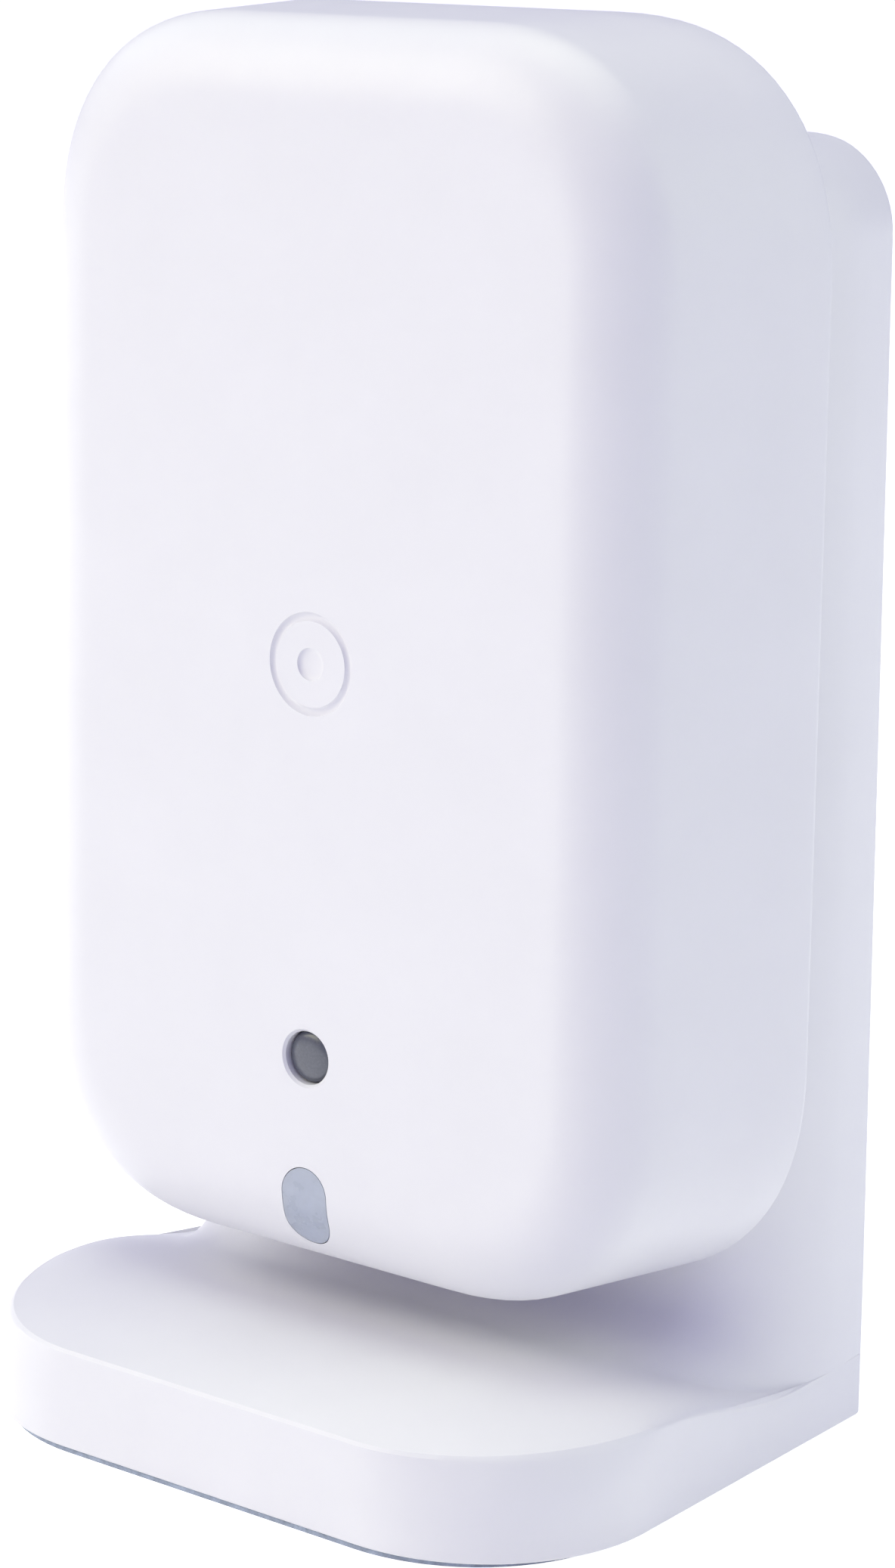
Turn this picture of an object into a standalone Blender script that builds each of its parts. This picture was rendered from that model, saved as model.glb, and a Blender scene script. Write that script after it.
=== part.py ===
"""Small indoor sensor: a rounded box head held by magnets on an L-shaped weighted stand.

Frame: +X to the head's left seen from behind, -Y is the front, +Z up, origin under the middle of
the bounding box. Lengths below are in millimetres; objects are written in metres.
"""
import math

import bmesh
import bpy
from mathutils import Vector

MM = 0.001

# ---- driving dimensions, millimetres ----
GAP = 0.3                     # air left between pieces that would touch
HEAD_BACK_Y = 5.545            # plane of the head's rear rim
HEAD_CENTRE_Z = 47.2
HEAD_W = 50.0
HEAD_H = 72.96
HEAD_D = 14.36
HEAD_FLARE_X = 4.14            # how much narrower the front is, each side
HEAD_FLARE_Z = 0.54
HEAD_CORNER_BACK = 14.63
HEAD_CORNER_FRONT = 12.74
HEAD_CORNER_POWER = 2.37      # 2 is a circular corner, more is squarer
HEAD_FILLET_X = 3.79
HEAD_FILLET_Z = 4.95
HEAD_WALL = 1.6
HEAD_FRONT_WALL = 1.8
INNER_FILLET = 2.2
CORNER_STEPS = 9
FILLET_STEPS = 6

COVER_T = 1.7
COVER_SCREW_X = 15.5
COVER_SCREW_Z = (19.5, 74.1)
BOARD_SCREW_X = 15.5
BOARD_SCREW_Z = (30.0, 64.0)
BOSS_R = 2.4
POST_R = 2.1

EMBLEM_Z = 46.9
EMBLEM_R = 3.0
SENSOR_Z = 23.9
SENSOR_HOLE_R = 1.58
GUIDE_Z = 15.75
GUIDE_HOLE_R = 1.66
GUIDE_DROP = 0.75             # half the straight part of the guide's long face
GUIDE_PLUG = 2.6              # depth of the long face's plug behind the front plane

BOARD_FRONT = -7.6            # from the head's rear rim, towards the front is negative
BOARD_T = 1.0
USB_Z = 24.0
USB_W = 8.94
USB_H = 3.26
BUTTON_Z = 33.0
BUTTON_R = 2.2

STAND_HALF_W = 22.36
STAND_TOP_Z = 76.75
PLATE_FRONT_Y = HEAD_BACK_Y + GAP
STAND_BACK_Y = 17.375
STAND_FRONT_Y = -17.375
STAND_BOTTOM_Z = 0.35
BASE_EDGE_Z = 6.3             # height of the base's top at its front edge
BASE_TOP_Z = 7.45              # height of the base's top at the inner fillet
INNER_CURVE_R = 5.0
INNER_CURVE_STEPS = 6
CROWN_STEPS = 6
SHOULDER_STEPS = 5
PLAN_STEPS = 9
STAND_PLAN_R = 11.3
PLATE_CORNER_R = 5.6
PLATE_EDGE_X = 6.0            # soft front edges of the plate: width and depth of the rounding
PLATE_EDGE_Y = 7.5
PLATE_TAPER = 0.4             # how much narrower the plate is at its top, each side
REAR_TAPER = 0.3              # how much narrower the stand is at its back, each side
TOP_FRONT_R = 3.0
SOFT_START_Z = 3.4            # the base's front corners soften from here up to the top edge
SOFT_X = 0.6
SOFT_Y = 3.0
SAG = 3.2                     # how far the side edges sink at the foot of the plate
SAG_START_X = 8.0
SAG_START_Y = -6.0
SAG_END_Y = 10.0
SAG_LOW_Z = 1.0
SAG_HIGH_Z = 25.0
SOFT_STEPS = 4
STAND_WALL = 1.8
REAR_EDGE_R = 0.6

WINDOW_HALF_W = 8.0
WINDOW_Z = (18.0, 38.0)
WINDOW_WALL = 1.2
MAGNET_X = 8.5
MAGNET_Z = 58.0
MAGNET_R = 5.0
PIP_X = 14.0
PIP_Z = 44.0
BACK_SCREW_X = 16.2
BACK_SCREW_Z = (14.0, 69.5)
BASE_SCREWS = ((12.5, -10.7), (16.8, 11.0))

ROUND = 20                    # sides of the larger round pieces
SMALL_ROUND = 14              # sides of screws and small pins


for old in list(bpy.data.objects):
    bpy.data.objects.remove(old, do_unlink=True)


# ---- shape helpers ----
def superellipse_outline(half_w, half_h, corner, power, steps):
    """Rounded rectangle about the origin, counter-clockwise, as (u, v) pairs."""
    quarter = []
    for i in range(steps):
        t = math.pi / 2 * i / (steps - 1)
        c = math.cos(t) ** (2 / power) if math.cos(t) > 1e-9 else 0.0
        s = math.sin(t) ** (2 / power) if math.sin(t) > 1e-9 else 0.0
        quarter.append((half_w - corner + corner * c, half_h - corner + corner * s))
    points = list(quarter)
    points += [(-u, v) for u, v in reversed(quarter)]
    points += [(-u, -v) for u, v in quarter]
    points += [(u, -v) for u, v in reversed(quarter)]
    return points


def circle_outline(radius, sides):
    return [(radius * math.cos(2 * math.pi * i / sides), radius * math.sin(2 * math.pi * i / sides))
            for i in range(sides)]


def add_loft(bm, rings):
    """Closed solid through rings of equal vertex count, flat at both ends."""
    loops = [[bm.verts.new(p) for p in ring] for ring in rings]
    count = len(loops[0])
    faces = [bm.faces.new(list(reversed(loops[0]))), bm.faces.new(loops[-1])]
    for low, high in zip(loops, loops[1:]):
        for i in range(count):
            j = (i + 1) % count
            faces.append(bm.faces.new((low[i], low[j], high[j], high[i])))
    bmesh.ops.recalc_face_normals(bm, faces=faces)
    return faces


def along_y(outline, y, centre):
    return [Vector((centre[0] + u, y, centre[1] + v)) for u, v in outline]


def along_z(outline, z, centre):
    return [Vector((centre[0] + u, centre[1] + v, z)) for u, v in outline]


def add_turned_y(bm, centre, stations, sides=ROUND):
    """Round solid on an axis along Y; stations are (y, radius) from one end to the other."""
    add_loft(bm, [along_y(circle_outline(r, sides), y, centre) for y, r in stations])


def add_turned_z(bm, centre, stations, sides=ROUND):
    add_loft(bm, [along_z(circle_outline(r, sides), z, centre) for z, r in stations])


def add_slab_y(bm, centre, half_w, half_h, corner, y0, y1, steps=4):
    outline = superellipse_outline(half_w, half_h, corner, 2.0, steps)
    add_loft(bm, [along_y(outline, y0, centre), along_y(outline, y1, centre)])


def add_ring_y(bm, centre, inner, outer, y0, y1, sides=ROUND):
    """Flat washer shape on an axis along Y."""
    corners = ((inner, y0), (outer, y0), (outer, y1), (inner, y1))
    loops = [[bm.verts.new(p) for p in along_y(circle_outline(r, sides), y, centre)]
             for r, y in corners]
    faces = []
    for low, high in zip(loops, loops[1:] + loops[:1]):
        for i in range(sides):
            j = (i + 1) % sides
            faces.append(bm.faces.new((low[i], low[j], high[j], high[i])))
    bmesh.ops.recalc_face_normals(bm, faces=faces)


def add_box(bm, low, high):
    outline = ((low[0], low[1]), (high[0], low[1]), (high[0], high[1]), (low[0], high[1]))
    add_loft(bm, [along_z(outline, low[2], (0, 0)), along_z(outline, high[2], (0, 0))])


def head_outline(depth, inset_x, inset_z, steps=CORNER_STEPS):
    """Head's cross-section at a depth in front of its rear rim, moved in by the insets."""
    forward = depth / HEAD_D
    corner = HEAD_CORNER_BACK + (HEAD_CORNER_FRONT - HEAD_CORNER_BACK) * forward
    return superellipse_outline(
        HEAD_W / 2 - HEAD_FLARE_X * forward - inset_x,
        HEAD_H / 2 - HEAD_FLARE_Z * forward - inset_z,
        corner - (inset_x + inset_z) / 2, HEAD_CORNER_POWER, steps)


def head_ring(depth, inset_x, inset_z):
    return along_y(head_outline(depth, inset_x, inset_z), HEAD_BACK_Y - depth, (0, HEAD_CENTRE_Z))


def head_outer_rings():
    """From the flat front, round the front edge, to the chamfered rear rim."""
    rings = []
    for i in range(FILLET_STEPS + 1):
        t = math.pi / 2 * i / FILLET_STEPS
        depth = HEAD_D - HEAD_FILLET_X * (1 - math.cos(t))
        turned = 1 - math.sin(t)
        rings.append(head_ring(depth, HEAD_FILLET_X * turned, HEAD_FILLET_Z * turned))
    rings.append(head_ring(0.35, 0, 0))
    rings.append(head_ring(0, 0.35, 0.35))
    return rings


def head_inner_rings():
    """From the rear opening to the inside of the front wall."""
    rings = [head_ring(0, HEAD_WALL, HEAD_WALL)]
    steps = 4
    for i in range(steps + 1):
        t = math.pi / 2 * (1 - i / steps)
        depth = HEAD_D - HEAD_FRONT_WALL - INNER_FILLET * (1 - math.cos(t))
        turned = INNER_FILLET * (1 - math.sin(t))
        rings.append(head_ring(depth, HEAD_WALL + turned, HEAD_WALL + turned))
    return rings


# ---- object helpers ----
def material(name, colour, rough, metal=0.0, alpha=1.0):
    mat = bpy.data.materials.new(name)
    mat.use_nodes = True
    shader = mat.node_tree.nodes["Principled BSDF"]
    shader.inputs["Base Color"].default_value = (*colour, 1.0)
    shader.inputs["Roughness"].default_value = rough
    shader.inputs["Metallic"].default_value = metal
    shader.inputs["Alpha"].default_value = alpha
    return mat


def make(name, bm, origin, parent, look, smooth_deg=35):
    """Write the mesh in metres about its own origin and hang it on its parent."""
    bmesh.ops.translate(bm, verts=bm.verts, vec=-Vector(origin))
    bmesh.ops.scale(bm, verts=bm.verts, vec=(MM, MM, MM))
    mesh = bpy.data.meshes.new(name)
    bm.to_mesh(mesh)
    bm.free()
    mesh.shade_smooth()
    mesh.set_sharp_from_angle(angle=math.radians(smooth_deg))
    obj = bpy.data.objects.new(name, mesh)
    bpy.context.collection.objects.link(obj)
    obj.location = Vector(origin) * MM
    if parent is not None:
        obj.parent = parent
        obj.location = Vector(origin) * MM - parent.location
    if look is not None:
        obj.data.materials.append(look)
    return obj


def combine(target, operation, bm, label):
    """Boolean with a hidden wire object that holds the shapes in bm."""
    tool = make(target.name + "_" + label, bm, (0, 0, 0), None, None)
    tool.hide_render = True
    tool.display_type = 'WIRE'
    mod = target.modifiers.new(label, 'BOOLEAN')
    mod.operation = operation
    mod.solver = 'EXACT'
    mod.object = tool


def empty_at(name, origin):
    obj = bpy.data.objects.new(name, None)
    bpy.context.collection.objects.link(obj)
    obj.location = Vector(origin) * MM
    return obj


def head_y(depth):
    """World y of a signed distance from the rear rim, negative towards the front."""
    return HEAD_BACK_Y + depth


HEAD_ORIGIN = (0, HEAD_BACK_Y, HEAD_CENTRE_Z)
STAND_ORIGIN = (0, 0, 0)
head_frame = empty_at("head_frame", HEAD_ORIGIN)
stand_frame = empty_at("stand_frame", STAND_ORIGIN)


def head_piece(name, bm, look, smooth_deg=35):
    return make(name, bm, HEAD_ORIGIN, head_frame, look, smooth_deg)


def stand_piece(name, bm, look, smooth_deg=35):
    return make(name, bm, STAND_ORIGIN, stand_frame, look, smooth_deg)


WHITE = (0.86, 0.86, 0.88)


# ---- head: front shell ----
def build_front_shell():
    bm = bmesh.new()
    rings = head_outer_rings() + head_inner_rings()
    add_loft(bm, rings)
    shell = head_piece("front_shell", bm, material("shell_white", WHITE, 0.45))

    bosses = bmesh.new()
    start = head_y(-HEAD_D + 1.1)
    for side in (-1, 1):
        for z in COVER_SCREW_Z:
            add_turned_y(bosses, (side * COVER_SCREW_X, z), ((start, BOSS_R), (head_y(-3.3), BOSS_R)))
        for z in BOARD_SCREW_Z:
            add_turned_y(bosses, (side * BOARD_SCREW_X, z),
                         ((start, POST_R), (head_y(BOARD_FRONT - GAP), POST_R)))
    combine(shell, 'UNION', bosses, "bosses")

    holes = bmesh.new()
    front = head_y(-HEAD_D)
    for side in (-1, 1):
        for z in COVER_SCREW_Z:
            add_turned_y(holes, (side * COVER_SCREW_X, z),
                         ((head_y(-9.6), 1.05), (head_y(-2.0), 1.05)), SMALL_ROUND)
        for z in BOARD_SCREW_Z:
            add_turned_y(holes, (side * BOARD_SCREW_X, z),
                         ((head_y(-11.9), 0.95), (head_y(-6.0), 0.95)), SMALL_ROUND)
    add_turned_y(holes, (0, SENSOR_Z),
                 ((front - 1, SENSOR_HOLE_R + 1.22), (front + 0.22, SENSOR_HOLE_R),
                  (front + 3, SENSOR_HOLE_R)))
    add_slab_y(holes, (0, GUIDE_Z - GUIDE_DROP), GUIDE_HOLE_R, GUIDE_HOLE_R + GUIDE_DROP, GUIDE_HOLE_R,
               front - 1, front + GUIDE_PLUG + GAP, 7)
    add_ring_y(holes, (0, EMBLEM_Z), EMBLEM_R - 0.45, EMBLEM_R, front - 1, front + 0.25, 32)
    add_turned_y(holes, (0, EMBLEM_Z), ((front - 1, 0.8), (front + 0.25, 0.8)))
    combine(shell, 'DIFFERENCE', holes, "holes")


# ---- head: window, light guide and divider ----
def build_optics():
    front = head_y(-HEAD_D)
    bm = bmesh.new()
    stations = [(head_y(-11.5), 2.4), (head_y(-12.35), 2.4), (head_y(-12.36), 1.32),
                (front + 0.75, 1.32)]
    for i in range(1, 5):
        t = math.pi / 2 * i / 5
        stations.append((front + 0.75 - 0.75 * math.sin(t), 1.32 * math.cos(t)))
    add_turned_y(bm, (0, SENSOR_Z), stations)
    head_piece("sensor_window", bm, material("window_smoked", (0.10, 0.12, 0.16), 0.12))

    rod = bmesh.new()
    guide_r = GUIDE_HOLE_R - 0.2
    face = superellipse_outline(guide_r, guide_r + GUIDE_DROP, guide_r, 2.0, 7)
    neck = superellipse_outline(1.3, 1.3, 1.3, 2.0, 7)
    plug_centre = (0, GUIDE_Z - GUIDE_DROP)
    plug_end = front + GUIDE_PLUG
    add_loft(rod, [along_y(face, front - 2, plug_centre), along_y(face, plug_end, plug_centre),
                   along_y(neck, plug_end + 0.001, (0, GUIDE_Z)), along_y(neck, head_y(-9.0), (0, GUIDE_Z))])
    guide = head_piece("status_light_guide", rod,
                       material("guide_frosted", (0.62, 0.68, 0.74), 0.3, 0.0, 0.9))
    outside = bmesh.new()
    add_loft(outside, head_outer_rings())
    combine(guide, 'INTERSECT', outside, "flush")

    block = bmesh.new()
    low, high = 13.3, 27.0
    add_slab_y(block, (0, (low + high) / 2), 4.2, (high - low) / 2, 1.0, head_y(-11.2), head_y(-7.9))
    divider = head_piece("light_divider", block, material("divider_black", (0.03, 0.03, 0.03), 0.8))
    bores = bmesh.new()
    for z, r in ((GUIDE_Z, 1.6), (SENSOR_Z, 1.6)):
        add_turned_y(bores, (0, z), ((head_y(-12.5), r), (head_y(-6.5), r)))
    combine(divider, 'DIFFERENCE', bores, "bores")


# ---- head: circuit board and what it carries ----
def build_board():
    y0 = head_y(BOARD_FRONT)
    y1 = y0 + BOARD_T
    outline = ((-18.5, 23.2), (-7.5, 23.2), (-7.5, 13.4), (7.5, 13.4), (7.5, 23.2), (18.5, 23.2),
               (18.5, 71.0), (-18.5, 71.0))
    bm = bmesh.new()
    add_loft(bm, [along_y(outline, y0, (0, 0)), along_y(outline, y1, (0, 0))])
    board = head_piece("main_board", bm, material("board_green", (0.03, 0.16, 0.09), 0.5))
    holes = bmesh.new()
    for side in (-1, 1):
        for z in BOARD_SCREW_Z:
            add_turned_y(holes, (side * BOARD_SCREW_X, z), ((y0 - 1, 1.15), (y1 + 1, 1.15)), SMALL_ROUND)
    combine(board, 'DIFFERENCE', holes, "screw_holes")

    chip_black = material("chip_black", (0.04, 0.04, 0.045), 0.5)
    front_side = y0 - 0.2
    back_side = y1 + 0.2

    def chip(name, centre, half_w, half_h, y_from, y_to, look):
        block_bm = bmesh.new()
        add_slab_y(block_bm, centre, half_w, half_h, 0.25, y_from, y_to, 3)
        return head_piece(name, block_bm, look)

    chip("light_sensor_chip", (0, SENSOR_Z), 1.1, 1.1, front_side - 0.7, front_side,
         material("chip_clear", (0.35, 0.33, 0.28), 0.3))
    chip("status_led", (0, GUIDE_Z), 1.0, 0.7, front_side - 0.7, front_side,
         material("led_cream", (0.85, 0.82, 0.65), 0.35))
    chip("radio_module", (0, 57.0), 6.6, 9.0, front_side - 0.8, front_side,
         material("module_blue", (0.04, 0.07, 0.16), 0.5))
    chip("radio_shield", (0, 55.0), 5.6, 6.0, front_side - 2.8, front_side - 1.0,
         material("shield_tin", (0.62, 0.62, 0.60), 0.35, 1.0))
    chip("climate_sensor", (0, 16.4), 1.3, 1.3, back_side, back_side + 0.9, chip_black)
    chip("power_regulator", (0, 45.0), 1.6, 1.5, back_side, back_side + 1.1, chip_black)

    plug_end = head_y(-0.2)
    socket_bm = bmesh.new()
    add_slab_y(socket_bm, (0, USB_Z), USB_W / 2, USB_H / 2, 1.55, back_side, plug_end, 5)
    socket = head_piece("usb_socket", socket_bm, material("socket_steel", (0.6, 0.6, 0.6), 0.3, 1.0))
    mouth = bmesh.new()
    add_slab_y(mouth, (0, USB_Z), USB_W / 2 - 0.3, USB_H / 2 - 0.3, 1.25, back_side + 0.8,
               plug_end + 1, 5)
    combine(socket, 'DIFFERENCE', mouth, "mouth")
    tongue = bmesh.new()
    add_box(tongue, (-3.3, back_side + 0.4, USB_Z - 0.35), (3.3, plug_end - 0.7, USB_Z + 0.35))
    combine(socket, 'UNION', tongue, "tongue")

    switch_bm = bmesh.new()
    switch_top = head_y(-4.2)
    add_slab_y(switch_bm, (0, BUTTON_Z), 2.25, 2.25, 0.3, back_side, switch_top, 3)
    switch = head_piece("switch_body", switch_bm, material("switch_dark", (0.07, 0.07, 0.08), 0.45))
    well = bmesh.new()
    add_turned_y(well, (0, BUTTON_Z), ((head_y(-5.6), 1.05), (switch_top + 1, 1.05)), SMALL_ROUND)
    combine(switch, 'DIFFERENCE', well, "well")


# ---- head: rear cover, its steel plate, and the button ----
def build_rear_cover():
    inset = HEAD_WALL + GAP
    bm = bmesh.new()
    add_loft(bm, [head_ring(depth, inset, inset) for depth in (0.1 + COVER_T, 0.1)])
    cover = head_piece("rear_cover", bm, material("cover_white", (0.82, 0.82, 0.84), 0.55))

    pads = bmesh.new()
    for side in (-1, 1):
        for z in COVER_SCREW_Z:
            add_turned_y(pads, (side * COVER_SCREW_X, z), ((head_y(-3.0), 2.7), (head_y(-0.9), 2.7)))
        add_turned_y(pads, (side * 12.0, MAGNET_Z), ((head_y(-3.7), 1.2), (head_y(-0.9), 1.2)),
                     SMALL_ROUND)
    combine(cover, 'UNION', pads, "pads")

    holes = bmesh.new()
    for side in (-1, 1):
        for z in COVER_SCREW_Z:
            add_turned_y(holes, (side * COVER_SCREW_X, z),
                         ((head_y(-4), 1.15), (head_y(-1.6), 1.15), (head_y(-1.599), 2.1),
                          (head_y(1), 2.1)), SMALL_ROUND)
        add_turned_y(holes, (side * PIP_X, PIP_Z), ((head_y(-1.0), 2.55), (head_y(1), 2.55)))
    add_slab_y(holes, (0, USB_Z), USB_W / 2 + GAP, USB_H / 2 + GAP, 1.8, head_y(-4), head_y(1), 5)
    add_turned_y(holes, (0, BUTTON_Z), ((head_y(-4), BUTTON_R + 0.25), (head_y(1), BUTTON_R + 0.25)))
    combine(cover, 'DIFFERENCE', holes, "holes")

    steel_bm = bmesh.new()
    add_slab_y(steel_bm, (0, MAGNET_Z), 14.6, 6.6, 1.5, head_y(-3.1), head_y(-2.1))
    steel = head_piece("mount_steel_plate", steel_bm, material("steel_plate", (0.55, 0.56, 0.58), 0.4, 1.0))
    pegs = bmesh.new()
    for side in (-1, 1):
        add_turned_y(pegs, (side * 12.0, MAGNET_Z), ((head_y(-4), 1.5), (head_y(-1), 1.5)), SMALL_ROUND)
    combine(steel, 'DIFFERENCE', pegs, "peg_holes")

    cap = bmesh.new()
    add_turned_y(cap, (0, BUTTON_Z),
                 ((head_y(-3.1), 1.1), (head_y(-2.9), 1.1), (head_y(-2.899), 3.0), (head_y(-2.15), 3.0),
                  (head_y(-2.149), BUTTON_R), (head_y(0.2), BUTTON_R), (head_y(0.5), BUTTON_R - 0.3)))
    make("reset_button", cap, (0, HEAD_BACK_Y, BUTTON_Z), head_frame,
         material("button_grey", (0.55, 0.56, 0.58), 0.5))
    plunger = bmesh.new()
    add_turned_y(plunger, (0, BUTTON_Z), ((head_y(-5.1), 0.9), (head_y(-3.4), 0.9)), SMALL_ROUND)
    make("switch_plunger", plunger, (0, HEAD_BACK_Y, BUTTON_Z), head_frame,
         material("plunger_black", (0.05, 0.05, 0.05), 0.5))


# ---- stand: one L-shaped moulding, hollow from behind and below ----
def plan_outline(half_w, y_front, y_back, corner_x, corner_y, steps, rear_r=0.0, rear_taper=0.0):
    """Horizontal section with rounded front corners; the rear ones are square or lightly rounded."""
    side = []
    if rear_r > 0:
        side.append((half_w - rear_taper - rear_r, y_back))
        side.append((half_w - rear_taper - rear_r * 0.3, y_back - rear_r * 0.3))
        side.append((half_w - rear_taper, y_back - rear_r))
    else:
        side.append((half_w - rear_taper, y_back))
    for i in range(steps):
        t = math.pi / 2 * i / (steps - 1)
        side.append((half_w - corner_x * (1 - math.cos(t)), y_front + corner_y * (1 - math.sin(t))))
    return [(-x, y) for x, y in side] + [(x, y) for x, y in reversed(side)]


def stand_sections():
    """From the bottom up: height, half width, front y, back y, and the front corner's x and y size."""
    corner = STAND_PLAN_R
    sections = [(STAND_BOTTOM_Z, STAND_HALF_W - 0.15, STAND_FRONT_Y + 0.15, STAND_BACK_Y, corner, corner),
                (STAND_BOTTOM_Z + 0.25, STAND_HALF_W, STAND_FRONT_Y, STAND_BACK_Y, corner, corner)]
    curve_y = PLATE_FRONT_Y - INNER_CURVE_R
    side_start = STAND_FRONT_Y + corner
    side_end = PLATE_FRONT_Y + PLATE_EDGE_Y
    for i in range(SOFT_STEPS):
        soft = (i / SOFT_STEPS) ** 2
        z = SOFT_START_Z + (BASE_EDGE_Z - SOFT_START_Z) * i / SOFT_STEPS
        sections.append((z, STAND_HALF_W, STAND_FRONT_Y, STAND_BACK_Y, corner + SOFT_X * soft,
                         corner + SOFT_Y * soft))
    corner += SOFT_X
    side_start += SOFT_Y
    for i in range(CROWN_STEPS + 1):
        f = i / CROWN_STEPS
        z = BASE_EDGE_Z + (BASE_TOP_Z - BASE_EDGE_Z) * (1 - (1 - f) ** 2)
        front = STAND_FRONT_Y + (curve_y - STAND_FRONT_Y) * f
        side = side_start + (side_end - side_start) * f ** 0.8
        sections.append((z, STAND_HALF_W, front, STAND_BACK_Y, corner + (PLATE_EDGE_X - corner) * f,
                         side - front))
    for i in range(1, INNER_CURVE_STEPS + 1):
        t = math.pi / 2 * i / INNER_CURVE_STEPS
        front = curve_y + INNER_CURVE_R * math.sin(t)
        sections.append((BASE_TOP_Z + INNER_CURVE_R * (1 - math.cos(t)), STAND_HALF_W, front, STAND_BACK_Y,
                         PLATE_EDGE_X, side_end - front))
    shoulder_z = STAND_TOP_Z - PLATE_CORNER_R
    for i in range(SHOULDER_STEPS + 1):
        t = math.pi / 2 * i / SHOULDER_STEPS
        last = i == SHOULDER_STEPS
        front = PLATE_FRONT_Y + TOP_FRONT_R * (1 - math.cos(t))
        sections.append((shoulder_z + PLATE_CORNER_R * math.sin(t),
                         STAND_HALF_W - PLATE_TAPER - PLATE_CORNER_R * (1 - math.cos(t)), front,
                         STAND_BACK_Y - (REAR_EDGE_R if last else 0), PLATE_EDGE_X, side_end - front))
    return sections


def smooth_step(value):
    t = min(1.0, max(0.0, value))
    return t * t * (3 - 2 * t)


def sag_foot(bm):
    """Let the base's side edges sink towards the foot of the plate."""
    for v in bm.verts:
        across = smooth_step((abs(v.co.x) - SAG_START_X) / (STAND_HALF_W - SAG_START_X))
        back = smooth_step((v.co.y - SAG_START_Y) / (SAG_END_Y - SAG_START_Y))
        low = smooth_step((v.co.z - SAG_LOW_Z) / (BASE_EDGE_Z - SAG_LOW_Z))
        high = 1 - smooth_step((v.co.z - BASE_TOP_Z) / (SAG_HIGH_Z - BASE_TOP_Z))
        v.co.z -= SAG * across * back * low * high


def add_stand_body(bm):
    add_loft(bm, [along_z(plan_outline(half_w, front, back, corner_x, corner_y, PLAN_STEPS, REAR_EDGE_R,
                                       REAR_TAPER), z, (0, 0))
                  for z, half_w, front, back, corner_x, corner_y in stand_sections()])
    sag_foot(bm)


def plan_slab(bm, half_w, y0, y1, corner, z0, z1):
    """Flat slab in the base with rounded front corners and square rear ones."""
    outline = plan_outline(half_w, y0, y1, corner, corner, 7)
    add_loft(bm, [along_z(outline, z0, (0, 0)), along_z(outline, z1, (0, 0))])


CAVITY_HALF_W = STAND_HALF_W - PLATE_TAPER - STAND_WALL
CAVITY_Z = (8.8, STAND_TOP_Z - STAND_WALL)
BASE_CAVITY_Y = (STAND_FRONT_Y + STAND_WALL, STAND_BACK_Y - STAND_WALL)
BASE_CEILING_Z = BASE_EDGE_Z - 1.6
CAVITY_CORNER = 3.4
CAVITY_STEPS = 4


def cavity_centre():
    return (0, (CAVITY_Z[0] + CAVITY_Z[1]) / 2)


def window_centre():
    return (0, (WINDOW_Z[0] + WINDOW_Z[1]) / 2)


def build_stand_shell():
    bm = bmesh.new()
    add_stand_body(bm)
    shell = stand_piece("stand_shell", bm, material("stand_white", WHITE, 0.5))

    hollow = bmesh.new()
    levels = []
    for i in range(CAVITY_STEPS):
        t = math.pi / 2 * i / (CAVITY_STEPS - 1)
        levels.append((CAVITY_CORNER * (1 - math.cos(t)), CAVITY_CORNER * (1 - math.sin(t))))
    sections = [(CAVITY_Z[0] + rise, inset) for rise, inset in levels]
    sections += [(CAVITY_Z[1] - rise, inset) for rise, inset in reversed(levels)]
    add_loft(hollow, [along_z(plan_outline(CAVITY_HALF_W - inset, PLATE_FRONT_Y + STAND_WALL, STAND_BACK_Y + 5,
                                           PLATE_EDGE_X - STAND_WALL, PLATE_EDGE_Y - STAND_WALL, PLAN_STEPS),
                              z, (0, 0)) for z, inset in sections])
    plan_slab(hollow, CAVITY_HALF_W, BASE_CAVITY_Y[0], BASE_CAVITY_Y[1], STAND_PLAN_R - STAND_WALL,
              -5, BASE_CEILING_Z)
    combine(shell, 'DIFFERENCE', hollow, "hollow")

    solids = bmesh.new()
    half_window = (WINDOW_Z[1] - WINDOW_Z[0]) / 2
    wall_y = PLATE_FRONT_Y + STAND_WALL
    add_slab_y(solids, window_centre(), WINDOW_HALF_W + WINDOW_WALL, half_window + WINDOW_WALL, 3.2,
               wall_y - 0.8, STAND_BACK_Y - 0.15)
    for side in (-1, 1):
        for z in BACK_SCREW_Z:
            add_turned_y(solids, (side * BACK_SCREW_X, z),
                         ((wall_y - 0.8, BOSS_R), (STAND_BACK_Y - 3.3, BOSS_R)))
        add_turned_y(solids, (side * MAGNET_X, MAGNET_Z),
                     ((wall_y - 0.8, MAGNET_R + 1.3), (wall_y + 2.2, MAGNET_R + 1.3)))
        add_turned_y(solids, (side * PIP_X, PIP_Z),
                     ((PLATE_FRONT_Y - 0.9, 1.9), (PLATE_FRONT_Y - 0.6, 2.2), (PLATE_FRONT_Y + 0.8, 2.2)))
        for x, y in BASE_SCREWS:
            add_turned_z(solids, (side * x, y), ((2.25, 2.3), (BASE_CEILING_Z + 0.8, 2.3)))
    combine(shell, 'UNION', solids, "bosses")

    holes = bmesh.new()
    add_slab_y(holes, window_centre(), WINDOW_HALF_W, half_window, 2.0, PLATE_FRONT_Y - 3, STAND_BACK_Y + 3)
    for side in (-1, 1):
        for z in BACK_SCREW_Z:
            add_turned_y(holes, (side * BACK_SCREW_X, z),
                         ((STAND_BACK_Y - 8.4, 1.05), (STAND_BACK_Y - 2, 1.05)),
                         SMALL_ROUND)
        add_turned_y(holes, (side * MAGNET_X, MAGNET_Z),
                     ((wall_y, MAGNET_R + GAP), (wall_y + 4, MAGNET_R + GAP)))
        for x, y in BASE_SCREWS:
            add_turned_z(holes, (side * x, y), ((-1, 1.0), (4.9, 1.0)), SMALL_ROUND)
    combine(shell, 'DIFFERENCE', holes, "holes")


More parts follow.
